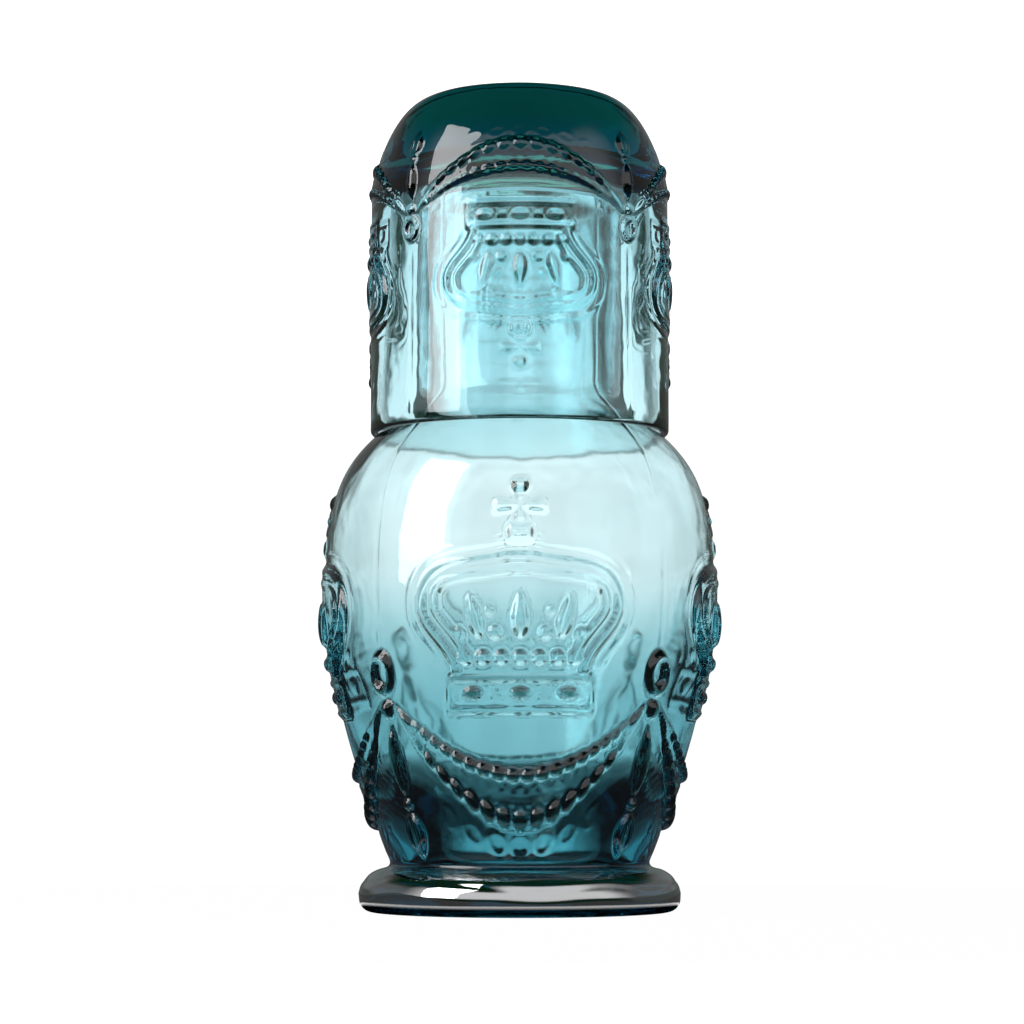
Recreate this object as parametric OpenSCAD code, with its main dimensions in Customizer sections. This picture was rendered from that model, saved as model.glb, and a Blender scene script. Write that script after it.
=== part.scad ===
// Bedside carafe with its tumbler, both of pressed teal glass.
// The carafe stands on z = 0. The tumbler is turned over the neck and its rim rests on the shoulder.
// The same crown and garland ornament stands out from four sides of both pieces.

/* [Carafe] */
// Height of the carafe, from the table to its mouth
carafe_h = 188; // [182:1:194]
// Thickness of the neck's wall
neck_wall = 2.6; // [2:0.1:5]
// Thickness of the body's wall from the belly to the shoulder
body_wall = 1.6; // [1.4:0.1:4]
// Thickness of the body's wall between the crown and the garland
mid_wall = 7.6; // [4:0.2:8]
// Thickness of the body's wall above the waist, where the glass is heaviest
low_wall = 14; // [9:0.2:15]
// Outer diameter of the neck
neck_d = 55.4; // [48:0.2:60]
// Radius of the hollow corner between the shoulder and the neck
neck_fillet = 6; // [2:0.5:9]
// Diameter of the belly at its widest line
belly_d = 102.8; // [98:0.2:112]
// Height of the belly's widest line
belly_z = 85.2; // [78:0.2:90]
// Diameter where the shoulder's curve turns into a straight cone
shoulder_d = 77.6; // [72:0.2:84]
// Height where the shoulder's curve turns into a straight cone
shoulder_z = 124.6; // [118:0.2:128]
// Angle of the shoulder's cone above the level
shoulder_slope = 44.2; // [36:0.2:50]
// Diameter of the waist above the foot
waist_d = 67.8; // [60:0.2:74]
// Angle of the body above the level where it leaves the waist
waist_slope = 70; // [60:1:85]
// Thickness of solid glass from the table to the inside floor
floor_t = 8.4; // [6:0.2:12]
// Height over which the inside floor curves up into the wall
heel_h = 8; // [6:0.5:12]

/* [Foot] */
// Diameter of the foot
foot_d = 84.4; // [80:0.2:96]
// Height of the foot
foot_h = 11.4; // [10.4:0.2:14]
// Height of the groove between the foot and the body
waist_groove = 1; // [0.4:0.1:2]
// Rounding of the foot's upper edge
foot_top_r = 7; // [4:0.2:7]
// Rounding of the foot's lower edge
foot_bottom_r = 3.4; // [1:0.2:3.4]
// Diameter of the shallow hollow under the foot
foot_hollow_d = 56; // [40:1:64]
// Depth of the shallow hollow under the foot
foot_hollow = 1.6; // [0.6:0.1:3]

/* [Tumbler] */
// Outer diameter of the tumbler
tumbler_d = 79.4; // [74:0.2:84]
// Height of the tumbler, from its rim to its base
tumbler_h = 90; // [84:0.2:100]
// Thickness of the tumbler's wall at its rim
tumbler_wall = 2.2; // [1.8:0.1:4]
// Growth of the tumbler's wall from its rim to its inside floor
tumbler_taper = 2.2; // [0:0.1:3]
// Thickness of the tumbler's base
tumbler_base_t = 17; // [9:0.2:18]
// Diameter of the flat of the tumbler's base
tumbler_base_d = 48.6; // [40:0.2:60]
// Height of the rounded corner between the tumbler's wall and base
tumbler_corner_h = 28.4; // [20:0.2:32]
// Height over which the tumbler's inside floor curves into its wall
tumbler_heel_h = 13; // [8:0.5:18]
// Diameter of the shallow hollow in the tumbler's base
base_hollow_d = 34; // [20:1:40]
// Depth of the shallow hollow in the tumbler's base
base_hollow = 0.8; // [0.4:0.1:2]

/* [Fit] */
// Gap between the tumbler's rim and the shoulder that carries it
seat_gap = 0.3; // [0.1:0.05:0.6]

/* [Crown] */
// Height of the lower edge of the carafe's crown
crown_z = 50.4; // [48:0.2:54]
// Width of the crown across its dome
crown_w = 53.4; // [46:0.2:58]
// Height of the crown, from its lower edge to the middle of its ball
crown_h = 57; // [52:0.2:60]
// Width of the crown's band
crown_band_w = 37; // [32:0.2:40]
// Height of the crown's band
crown_band_h = 10.2; // [8:0.2:12]
// How far the dome's foot stands in from the end of the band
dome_foot_in = 1.2; // [0.4:0.1:3]
// How far the dome's upper edge dips beside the collar
dome_dip = 2.4; // [0:0.2:4]
// Width of the crown's raised lines
crown_rib = 2.4; // [1.4:0.1:3]
// Diameter of the pearls above the band
pearl_d = 3.8; // [2.6:0.1:4.2]
// Number of pearls above the band
pearl_count = 7; // [5:2:9]
// How far the crown's field stands out from the body
field_relief = 0.6; // [0.4:0.1:1.4]
// How far the crown's raised lines stand out from the body
crown_relief = 1.6; // [1.1:0.1:2]
// Length of the petals in the dome
petal_l = 11; // [8:0.2:13]
// Width of the petals in the dome
petal_w = 4; // [2:0.2:5]
// Width of the collar on top of the dome
collar_w = 7.2; // [5:0.2:9]
// Width of the cross on the collar
cross_w = 12; // [8:0.2:15]
// Thickness of the cross's upright
cross_t = 2.8; // [1.6:0.2:4]
// How far pearls, jewels, petals, beads and drops stand out from the body
stone_relief = 2.2; // [1.8:0.1:2.6]

/* [Garland] */
// Height of the rings that the garland hangs from
ring_z = 61; // [58:0.2:64]
// Outer height of the rings
ring_d = 10.6; // [8:0.2:12]
// Width of the rings as a share of their height
ring_w = 0.78; // [0.7:0.02:1]
// Thickness of the rings
ring_t = 3; // [2:0.1:3.6]
// Height of the garland's lower edge at its middle
garland_low_z = 21.6; // [20:0.2:26]
// Height of the garland's upper edge at its middle
garland_high_z = 37.4; // [34:0.2:42]
// How far the garland stands out from the body
garland_relief = 1.6; // [0.8:0.1:2]
// Diameter of the beads along the garland's lower edge
bead_d = 4.2; // [3:0.1:5]
// Number of beads along the garland's lower edge
bead_count = 13; // [9:2:15]
// Length of the knot below each ring
knot_l = 5; // [3:0.2:6]
// Width of the knot
knot_w = 3.4; // [2:0.1:4]
// Diameter of the small bead below the long drop
small_bead_d = 3.4; // [2:0.1:4]
// Gap between one form of a pendant and the next
part_gap = 0.4; // [0.1:0.1:1]
// Length of the long drop below each knot
drop_l = 17; // [14:0.5:19]
// Width of the long drop
drop_w = 4.8; // [3:0.1:5.4]
// Length of the leaf below the long drop
leaf_l = 11; // [8:0.5:12]
// Width of the leaf
leaf_w = 6.6; // [4:0.1:7]

/* [Tumbler ornament] */
// Height of the tumbler's crown, from its lower edge to the middle of its ball
small_crown_h = 42; // [38:0.2:46]
// Width of the tumbler's crown across its dome
small_crown_w = 41; // [36:0.2:44]
// Distance from the tumbler's base to the lower edge of its crown
small_crown_up = 33.6; // [31:0.2:36]
// Distance from the tumbler's base to the middle of its rings
small_ring_up = 39.4; // [37:0.2:42]
// Height of the tumbler's garland as a share of the carafe's
small_garland = 0.56; // [0.5:0.01:0.6]
// How far the field of the tumbler's crown stands out from its wall
small_field = 0.6; // [0.3:0.1:0.9]
// How far the lines and garlands of the tumbler stand out from its wall
small_relief = 1; // [0.7:0.1:1.3]
// How far the pearls, jewels, beads and drops of the tumbler stand out from its wall
small_stone = 1.4; // [1.1:0.1:1.8]

/* [Hidden] */

// Four crowns, and four rings between them
sides = 4;
turn = 360 / sides;
// Angle from a crown's middle to the end of its garland
garland_half = 0.47 * turn;
// Angle from the first bead of a garland to its last
bead_span = 1.7 * garland_half;
// Depth to which raised forms are rooted in the glass
root = 1;

mouth_r = neck_wall / 2;
neck_r = neck_d / 2;
belly_r = belly_d / 2;
shoulder_r = shoulder_d / 2;
waist_r = waist_d / 2;
foot_r = foot_d / 2;
waist_z = foot_h + waist_groove;
tumbler_r = tumbler_d / 2;
lip_r = tumbler_wall / 2;

function bezier(a, b, c, d, n, first = 0) =
    [for (i = [first : n]) let (t = i / n, s = 1 - t)
        s * s * s * a + 3 * s * s * t * b + 3 * s * t * t * c + t * t * t * d];

function arc(centre, r, from, to, n) =
    [for (i = [0 : n]) let (a = from + (to - from) * i / n) centre + r * [cos(a), sin(a)]];

function reversed(points) = [for (i = [len(points) - 1 : -1 : 0]) points[i]];

// Unit normal of a line of points at point i, to the right of the way it runs
function normal(points, i) =
    let (d = points[min(i + 1, len(points) - 1)] - points[max(i - 1, 0)]) [d.y, -d.x] / norm(d);

// The same line moved out by a distance, and moved in by the carafe's wall
function grown(points, out) = [for (i = [0 : len(points) - 1]) points[i] + out * normal(points, i)];
function inset(points) =
    [for (i = [0 : len(points) - 1]) points[i] - wall_at(points[i].y) * normal(points, i)];

// A quarter bowl from the axis at floor height z to the first point of a wall, in line with the wall:
// shares of its width that are nearly level, and of its height that are nearly in line with the wall
level_share = 0.62;
rise_share = 0.55;
function heel(z, wall) =
    let (end = wall[0], along = (wall[1] - end) / norm(wall[1] - end), pull = rise_share * abs(end.y - z))
    bezier([0, z], [level_share * end.x, z], end - pull * along, end, 8);

// Shares of the belly's height that its curve holds straight above the waist, below and above the belly
waist_pull = 0.195 * (belly_z - waist_z);
belly_pull_down = 0.415 * (belly_z - waist_z);
belly_pull_up = 0.63 * (shoulder_z - belly_z);
shoulder_pull = 0.26 * (shoulder_z - belly_z);

// Outside of the carafe's body, from the waist to the shoulder's cone
body_line = concat(
    bezier([waist_r, waist_z], [waist_r, waist_z] + waist_pull * [cos(waist_slope), sin(waist_slope)],
        [belly_r, belly_z - belly_pull_down], [belly_r, belly_z], 11),
    bezier([belly_r, belly_z], [belly_r, belly_z + belly_pull_up],
        [shoulder_r, shoulder_z] + shoulder_pull * [cos(shoulder_slope), -sin(shoulder_slope)],
        [shoulder_r, shoulder_z], 9, 1));

// The cone of the shoulder meets the neck in a hollow corner
corner_z = shoulder_z + (shoulder_r - neck_r) * tan(shoulder_slope);
corner_mid = [neck_r + neck_fillet, corner_z + neck_fillet * tan((90 - shoulder_slope) / 2)];
corner_line = arc(corner_mid, neck_fillet, 270 - shoulder_slope, 180, 6);

foot_line = concat(
    [[0, foot_hollow], [0.6 * foot_hollow_d / 2, 0.7 * foot_hollow], [foot_hollow_d / 2, 0]],
    arc([foot_r - foot_bottom_r, foot_bottom_r], foot_bottom_r, -90, 0, 5),
    arc([foot_r - foot_top_r, foot_h - foot_top_r], foot_top_r, 0, 90, 8));

// The wall grows in two soft steps from above the belly down, each given by the shares of the belly's height
// where it starts and ends, and in an even taper from the shoulder to the neck
mid_step = [1.06, 0.51];
low_step = [0.47, 0.17];
function soft(x) = let (t = min(max(x, 0), 1)) t * t * (3 - 2 * t);
function step_down(z, ends) = soft((z / belly_z - ends[0]) / (ends[1] - ends[0]));
function wall_at(z) =
    lookup(z, [[shoulder_z, body_wall], [corner_mid.y, neck_wall]])
    + (mid_wall - body_wall) * step_down(z, mid_step) + (low_wall - mid_wall) * step_down(z, low_step);
inside_line = [for (p = inset(concat(body_line, corner_line))) if (p.y > floor_t + heel_h) p];
mouth_line = arc([neck_r - mouth_r, carafe_h - mouth_r], mouth_r, 0, 180, 8);

carafe_outline = concat(foot_line, body_line, corner_line, mouth_line,
    reversed(concat(heel(floor_t, inside_line), inside_line)));

// The rim's round lip is lowered on the shoulder until it is seat_gap away from it
shoulder_points = concat([for (p = body_line) if (p.y >= belly_z) p], corner_line);
shoulder_samples = [for (i = [0 : len(shoulder_points) - 2], t = [0 : 0.05 : 1])
    (1 - t) * shoulder_points[i] + t * shoulder_points[i + 1]];
reach = lip_r + seat_gap;
lip_z = max([for (p = shoulder_samples) let (d = p.x - tumbler_r + lip_r)
    if (abs(d) < reach) p.y + sqrt(reach * reach - d * d)]);
rim_z = lip_z - lip_r;
base_z = rim_z + tumbler_h;

tumbler_inside_r = tumbler_r - tumbler_wall;
tumbler_floor_z = base_z - tumbler_base_t;
corner_start_z = base_z - tumbler_corner_h;
tumbler_base_r = tumbler_base_d / 2;

// Outside of the tumbler, from the rim to the flat of the base
side_line = concat(
    [[tumbler_r, lip_z]],
    bezier([tumbler_r, corner_start_z], [tumbler_r, corner_start_z + 0.36 * tumbler_corner_h],
        [0.45 * tumbler_base_r + 0.55 * tumbler_r, base_z], [tumbler_base_r, base_z], 10));

tumbler_inside = [[tumbler_inside_r - tumbler_taper, tumbler_floor_z - tumbler_heel_h],
    [tumbler_inside_r, lip_z]];

tumbler_outline = concat(
    arc([tumbler_r - lip_r, lip_z], lip_r, 180, 350, 8), side_line,
    [[base_hollow_d / 2, base_z], [0.6 * base_hollow_d / 2, base_z - 0.7 * base_hollow],
        [0, base_z - base_hollow]],
    heel(tumbler_floor_z, tumbler_inside));

// Radius of a line of points at height z
function radius_at(line, z) = lookup(z, [for (p = line) [p.y, p.x]]);

// Width that an arc of length u on radius r shows from the front
function across(u, r) = r * sin(u / r * 180 / PI);

function mirrored(half) = concat(half, [for (p = reversed(half)) [-p.x, p.y]]);

// Places in the drawing of the crown, from its lower edge up
jewel_y = (crown_band_h + crown_rib / 2) / 2;
pearl_y = crown_band_h + crown_rib / 2 + 0.6 * pearl_d;
petal_y = 0.44 * crown_h;
dome_wide_y = 0.48 * crown_h;
dome_top_y = 0.7 * crown_h;
dome_low_y = 0.36 * crown_h;
dome_foot_y = 0.3 * crown_h;
collar_y = [0.72 * crown_h, 0.79 * crown_h];
cross_y = [0.86 * crown_h, 0.91 * crown_h];
cross_top_y = 0.95 * crown_h;

// Distances between pearls, between jewels and between petals
pearl_pitch = 1.2 * pearl_d;
jewel_pitch = 0.32 * crown_band_w;
petal_pitch = 0.21 * crown_w;

// Right half of the crown's dome: its top, its widest place and its foot on the band, drawn in by thick
function dome_half(thick) =
    let (w = crown_w / 2 - thick, top = dome_top_y - thick, foot = crown_band_w / 2 - dome_foot_in - thick)
    concat(
        bezier([collar_w / 2, top], [0.45 * w, top - dome_dip], [w, top + dome_dip / 2], [w, dome_wide_y], 6),
        bezier([w, dome_wide_y], [w, dome_low_y], [foot + dome_foot_in, dome_foot_y], [foot, crown_band_h],
            4, 1));

function bar(low, high) = [low, [high.x, low.y], high, [low.x, high.y]];

// A closed line of the crown's drawing, scaled by k and wrapped to what shows on radius r
function drawn(points, k, r) = [for (p = points) [across(p.x * k.x, r), p.y * k.y]];

module lathe(outline) {
    rotate_extrude($fn = 96) polygon(outline);
}

// Skin of glass around a line, from inside the wall to the height of a relief
module skin(line, relief) {
    lathe(concat(grown(line, relief), reversed(grown(line, -root))));
}

// Cuts a flat drawing, seen from the front, out of a skin on every side
module raised(line, relief) {
    for (i = [0 : sides - 1])
        rotate(i * turn)
            intersection() {
                skin(line, relief);
                rotate([90, 0, 0]) linear_extrude(belly_d) children();
            }
}

// A pointed oval of a given length along y, where two circles cross
module vesica(length, width) {
    r = (length * length + width * width) / (4 * width);
    a = asin(length / 2 / r);
    right = arc([width / 2 - r, 0], r, -a, a, 4);
    polygon([for (i = [0 : 3]) right[i], for (i = [0 : 3]) -right[i]]);
}

// A small round form with few sides
module bead(d) {
    circle(d = d, $fn = 8);
}

// Outline of the whole crown below its finial, filled
module crown_field(k, r) {
    polygon(drawn(mirrored(dome_half(0)), k, r));
    polygon(drawn(bar([-crown_band_w / 2, 0], [crown_band_w / 2, crown_band_h + crown_rib / 2]), k, r));
}

// The dome's rim, the two ribs of the band, and the collar and cross on the dome
module crown_lines(k, r) {
    difference() {
        polygon(drawn(mirrored(dome_half(0)), k, r));
        polygon(drawn(mirrored(dome_half(crown_rib)), k, r));
    }
    for (low = [0, crown_band_h - crown_rib / 2])
        polygon(drawn(bar([-crown_band_w / 2, low], [crown_band_w / 2, low + crown_rib]), k, r));
    polygon(drawn(bar([-collar_w / 2, collar_y[0]], [collar_w / 2, collar_y[1]]), k, r));
    polygon(drawn(bar([-cross_t / 2, collar_y[0]], [cross_t / 2, cross_top_y]), k, r));
    polygon(drawn(bar([-cross_w / 2, cross_y[0]], [cross_w / 2, cross_y[1]]), k, r));
}

// Petals in the dome, pearls over the band, jewels in it, and the ball on the cross
module crown_stones(k, r) {
    size = min(k.x, abs(k.y));
    for (j = [0 : pearl_count - 1])
        translate([across((j - (pearl_count - 1) / 2) * pearl_pitch * k.x, r), pearl_y * k.y])
            bead(pearl_d * size);
    for (j = [-1 : 1]) {
        translate([across(j * jewel_pitch * k.x, r), jewel_y * k.y])
            rotate(90) vesica(1.6 * pearl_d * size, pearl_d * size);
        translate([across(j * petal_pitch * k.x, r), petal_y * k.y])
            vesica(petal_l * size, petal_w * size);
    }
    translate([0, crown_h * k.y]) bead(pearl_d * size);
}

// Height of the garland's edge at an angle, which hangs from the end height to the middle height
function hang(middle, end, angle) = middle + (end - middle) * pow(angle / garland_half, 2);

// Crescent between the garland's two edges, seen from the front
module garland_field(line, low, high, end) {
    angles = [for (i = [-4 : 4]) i / 4 * garland_half];
    function edge(middle) =
        [for (a = angles) let (z = hang(middle, end, a)) [radius_at(line, z) * sin(a), z]];
    polygon(concat(edge(low), reversed(edge(high))));
}

// Beads along the garland's lower edge
module garland_beads(line, low, end, d) {
    for (j = [0 : bead_count - 1]) {
        a = (j / (bead_count - 1) - 0.5) * bead_span;
        z = hang(low, end, a);
        translate([radius_at(line, z) * sin(a), z]) bead(d);
    }
}

// Ring, knot, long drop, bead and leaf between two garlands, going down for k above 0 and up for k below 0
module pendant(k) {
    s = abs(k);
    knot_y = -k * (ring_d + knot_l) / 2;
    drop_y = knot_y - k * (knot_l + drop_l) / 2;
    bead_y = drop_y - k * (drop_l + small_bead_d) / 2;
    leaf_y = bead_y - k * (small_bead_d + leaf_l) / 2;
    scale([ring_w, 1]) difference() {
        circle(d = ring_d * s, $fn = 12);
        circle(d = (ring_d - 2 * ring_t) * s, $fn = 12);
    }
    translate([0, knot_y]) vesica((knot_l - part_gap) * s, knot_w * s);
    translate([0, drop_y]) vesica((drop_l - part_gap) * s, drop_w * s);
    translate([0, bead_y]) bead((small_bead_d - part_gap) * s);
    translate([0, leaf_y]) vesica((leaf_l - part_gap) * s, leaf_w * s);
}

module carafe() {
    k = [1, 1];
    garland_end = ring_z - ring_d / 2 - knot_l / 2;
    color("#5fa6b4", 0.6) {
        lathe(carafe_outline);
        raised(body_line, field_relief) translate([0, crown_z]) crown_field(k, belly_r);
        raised(body_line, crown_relief) translate([0, crown_z]) crown_lines(k, belly_r);
        raised(body_line, stone_relief) translate([0, crown_z]) crown_stones(k, belly_r);
        raised(body_line, garland_relief)
            garland_field(body_line, garland_low_z, garland_high_z, garland_end);
        raised(body_line, stone_relief)
            garland_beads(body_line, garland_low_z + bead_d / 2, garland_end, bead_d);
        rotate(turn / 2) raised(body_line, stone_relief) translate([0, ring_z]) pendant(1);
    }
}

module tumbler() {
    k = [small_crown_w / crown_w, -small_crown_h / crown_h];
    crown_edge_z = base_z - small_crown_up;
    small_ring_z = base_z - small_ring_up;
    garland_end = small_ring_z + small_garland * (ring_d + knot_l) / 2;
    low_z = small_ring_z + small_garland * (ring_z - garland_low_z);
    high_z = small_ring_z + small_garland * (ring_z - garland_high_z);
    color("#4f98aa", 0.6) {
        lathe(tumbler_outline);
        raised(side_line, small_field) translate([0, crown_edge_z]) crown_field(k, tumbler_r);
        raised(side_line, small_relief) translate([0, crown_edge_z]) crown_lines(k, tumbler_r);
        raised(side_line, small_stone) translate([0, crown_edge_z]) crown_stones(k, tumbler_r);
        raised(side_line, small_relief) garland_field(side_line, low_z, high_z, garland_end);
        raised(side_line, small_stone)
            garland_beads(side_line, low_z - small_garland * bead_d / 2, garland_end, small_garland * bead_d);
        rotate(turn / 2) raised(side_line, small_stone) translate([0, small_ring_z]) pendant(-small_garland);
    }
}

carafe();
tumbler();
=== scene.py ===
"""A bedside carafe of pressed teal glass, with its tumbler upturned over the neck as a lid."""

import math

import bpy
import numpy as np
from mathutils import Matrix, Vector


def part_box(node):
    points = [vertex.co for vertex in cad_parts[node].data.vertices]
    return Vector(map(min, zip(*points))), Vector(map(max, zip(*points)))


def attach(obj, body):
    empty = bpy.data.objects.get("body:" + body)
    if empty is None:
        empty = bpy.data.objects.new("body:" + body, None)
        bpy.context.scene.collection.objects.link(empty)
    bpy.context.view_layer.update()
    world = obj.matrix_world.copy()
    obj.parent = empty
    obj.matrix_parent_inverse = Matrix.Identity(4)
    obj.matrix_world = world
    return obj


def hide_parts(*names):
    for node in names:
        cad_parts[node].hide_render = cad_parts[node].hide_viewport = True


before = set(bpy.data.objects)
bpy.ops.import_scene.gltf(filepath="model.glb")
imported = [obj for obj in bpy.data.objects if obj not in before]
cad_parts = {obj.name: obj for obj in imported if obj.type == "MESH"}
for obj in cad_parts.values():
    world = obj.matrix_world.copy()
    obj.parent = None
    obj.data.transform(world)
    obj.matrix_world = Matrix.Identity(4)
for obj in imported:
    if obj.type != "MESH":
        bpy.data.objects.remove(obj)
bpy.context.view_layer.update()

# Carafe: form
# The carafe is one piece of soda-lime glass, blown and pressed in a four-part mould and tinted in the melt.
# It is heavy in the foot and the lower body and thin at the shoulder, and its mouth is fire polished round.

MM = 0.001

mouth_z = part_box("carafe")[1].z / MM
foot_r = 42.2
foot_h = 11.4
foot_bottom_r = 3.4
foot_top_r = 7.0
foot_top_end = 84.0
hollow_r = 28.0
hollow_depth = 1.6
hollow_lead = 0.3
hollow_shares = (0.5, 0.7)
waist = np.array([33.9, 12.4])
waist_slope = math.radians(70.0)
groove_h = 0.9
groove_lead = np.array([-1.6, 0.17])
belly = np.array([51.4, 85.2])
shoulder = np.array([38.8, 124.6])
shoulder_slope = math.radians(44.2)
neck_r = 27.7
neck_fillet = 6.0
neck_wall = 2.6
body_wall = 1.6
mid_wall = 7.6
low_wall = 14.0
mid_step = (1.06, 0.51)
low_step = (0.47, 0.17)
floor_z = 8.4
heel_z = 16.4
ornament_top = 112.0

# How far each end of a curve pulls, as a share of the curve's height or, on the floor, of its width
waist_pull = 0.195
belly_pull_down = 0.415
belly_pull_up = 0.63
shoulder_pull = 0.26
heel_pull = 0.55
floor_pull = 0.62


def bezier(a, b, c, d, count=80):
    """Cubic curve that leaves a towards b and comes into d from the side of c, as count + 1 points."""
    t = np.linspace(0.0, 1.0, count + 1)[:, None]
    a, b, c, d = np.array(a), np.array(b), np.array(c), np.array(d)
    s = 1.0 - t
    return s**3 * a + 3.0 * s**2 * t * b + 3.0 * s * t**2 * c + t**3 * d


def arc(centre, radius, start, end, count=40):
    """Points of a circle about a centre, from the start angle to the end angle in degrees."""
    a = np.radians(np.linspace(start, end, count + 1))
    return np.array(centre) + radius * np.column_stack([np.cos(a), np.sin(a)])


def heading(slope):
    """Unit vector that runs outwards and climbs at a slope."""
    return np.array([math.cos(slope), math.sin(slope)])


def spaced(line, step):
    """The same line with points a step apart, measured along it, and both its ends kept."""
    run = np.concatenate([[0.0], np.cumsum(np.hypot(*np.diff(line, axis=0).T))])
    at = np.linspace(0.0, run[-1], max(2, round(run[-1] / step) + 1))
    return np.column_stack([np.interp(at, run, line[:, 0]), np.interp(at, run, line[:, 1])])


def chained(pieces):
    """Several lines end to end as one, with the repeated point at each joint left out."""
    return np.concatenate([pieces[0]] + [piece[1:] for piece in pieces[1:]])


def normals(line):
    """Unit vectors square to a line at each of its points, to the right of the way it runs."""
    along = np.gradient(line, axis=0)
    square = np.column_stack([along[:, 1], -along[:, 0]])
    return square / np.hypot(square[:, 0], square[:, 1])[:, None]


def soft_step(x):
    """Rises smoothly from 0 to 1 as x goes from 0 to 1: three x squared less two x cubed."""
    x = np.clip(x, 0.0, 1.0)
    return x * x * (3.0 - 2.0 * x)


# The outside, from the middle of the foot's hollow to the mouth
hollow_line = bezier(
    (0.0, hollow_depth),
    (hollow_shares[0] * hollow_r, hollow_depth),
    (hollow_shares[1] * hollow_r, hollow_lead),
    (hollow_r, 0.0),
)
standing_line = np.array([[hollow_r, 0.0], [foot_r - foot_bottom_r, 0.0]])
foot_low_line = arc((foot_r - foot_bottom_r, foot_bottom_r), foot_bottom_r, -90.0, 0.0)
foot_top_line = arc((foot_r - foot_top_r, foot_h - foot_top_r), foot_top_r, 0.0, foot_top_end)
lower_h = belly[1] - waist[1]
upper_h = shoulder[1] - belly[1]
lower_body_line = bezier(
    waist,
    waist + waist_pull * lower_h * heading(waist_slope),
    belly - (0.0, belly_pull_down * lower_h),
    belly,
)
upper_body_line = bezier(
    belly,
    belly + (0.0, belly_pull_up * upper_h),
    shoulder + shoulder_pull * upper_h * heading(-shoulder_slope),
    shoulder,
)
corner_z = shoulder[1] + (shoulder[0] - neck_r) * math.tan(shoulder_slope)
fillet_z = corner_z + neck_fillet * math.tan((math.pi / 2.0 - shoulder_slope) / 2.0)
corner_line = arc((neck_r + neck_fillet, fillet_z), neck_fillet, 270.0 - math.degrees(shoulder_slope), 180.0)
body_line = spaced(chained([lower_body_line, upper_body_line]), 0.1)
above_groove = body_line[body_line[:, 1] > waist[1] + groove_h]
groove_line = bezier(
    foot_top_line[-1],
    foot_top_line[-1] + groove_lead,
    above_groove[0] - groove_h * heading(waist_slope),
    above_groove[0],
)
dressed_line = above_groove[above_groove[:, 1] <= ornament_top]
plain_line = np.concatenate([above_groove[above_groove[:, 1] >= dressed_line[-1, 1]], corner_line])
lip_z = mouth_z - neck_wall / 2.0
neck_line = np.array([[neck_r, fillet_z], [neck_r, lip_z]])
lip_line = arc((neck_r - neck_wall / 2.0, lip_z), neck_wall / 2.0, 0.0, 180.0)


def wall_at(z):
    """Thickness of the carafe's wall at a height: it grows in two soft steps from above the belly to the
    waist, each between two shares of the belly's height, and evenly from the shoulder to the neck."""
    steps = [soft_step((z / belly[1] - start) / (end - start)) for start, end in (mid_step, low_step)]
    thin = np.interp(z, (shoulder[1], fillet_z), (body_wall, neck_wall))
    return thin + (mid_wall - body_wall) * steps[0] + (low_wall - mid_wall) * steps[1]


def inset(line):
    """A line moved inwards by the carafe's wall."""
    return line - wall_at(line[:, 1])[:, None] * normals(line)


# The inside, from the mouth to the middle of the floor
inner_line = inset(spaced(np.concatenate([body_line, corner_line]), 0.4))
inner_line = inner_line[inner_line[:, 1] > heel_z]
bore_r = neck_r - neck_wall
inner_neck_line = np.array([[bore_r, lip_z], [bore_r, inner_line[-1, 1]]])
heel_run = inner_line[1] - inner_line[0]
heel_line = bezier(
    inner_line[0],
    inner_line[0] - heel_pull * (inner_line[0, 1] - floor_z) * heel_run / np.hypot(*heel_run),
    (floor_pull * inner_line[0, 0], floor_z),
    (0.0, floor_z),
)

# Each stretch of the outline, with the distance between its rows and whether it has the close columns
carafe_stretches = [
    ("hollow", hollow_line, 2.0, False),
    ("standing ring", standing_line, 2.0, False),
    ("foot's lower edge", foot_low_line, 0.5, False),
    ("foot's top", foot_top_line, 0.4, False),
    ("groove", groove_line, 0.4, True),
    ("dressed body", dressed_line, 0.74, True),
    ("plain shoulder", plain_line, 1.8, True),
    ("neck", neck_line, 4.0, True),
    ("lip", lip_line, 0.7, False),
    ("inside of the neck", inner_neck_line, 4.0, False),
    ("inside of the body", inner_line[::-1], 1.5, False),
    ("inside of the heel", heel_line, 1.5, False),
]

# Carafe: ornament
# The mould gives four sides the same raised ornament: a jewelled crown over a garland of cloth and beads,
# which hangs from rings in the corners. A pendant hangs from each ring, and the mould's seams run above it.

quarter = math.pi / 2.0
crown_z = 50.4
ring_z = 61.0
seam_z = 66.0
seam_fade = 4.0

# The crown, in millimetres to the side of its middle and above its lower edge
dome_top = np.array([3.6, 40.6])
dome_side = np.array([26.7, 27.6])
dome_foot = np.array([17.2, 10.6])
dome_outline = chained([
    np.array([[0.0, dome_top[1]], dome_top]),
    bezier(dome_top, dome_top + (8.4, -2.5), dome_side + (0.0, 13.5), dome_side, 24),
    bezier(dome_side, dome_side - (0.0, 7.0), dome_foot + (1.3, 7.0), dome_foot, 14),
])
band_half = 18.5
band_top = 11.0
band_edge = 0.9
jewel_v = 5.5
jewel_pitch = 11.8
pearl_v = 14.3
pearl_pitch = 4.55
collar_half = 4.2
collar_edge = 2.6
cross_v = 52.0
cross_half = 7.4
cross_edge = 2.2
cross_height = 0.8
ball_v = 57.1

# The garland's edges and its lace, in millimetres below the rings at the middle and up from there at the ends
garland_end = math.radians(42.5)
garland_r = 41.0
garland_high = 23.6
garland_high_rise = 17.0
garland_low = 39.6
garland_low_rise = 31.5
lace_fall = 43.4
lace_rise = 17.6
lace_pitch = 6.6
lace_end = 0.72


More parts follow.
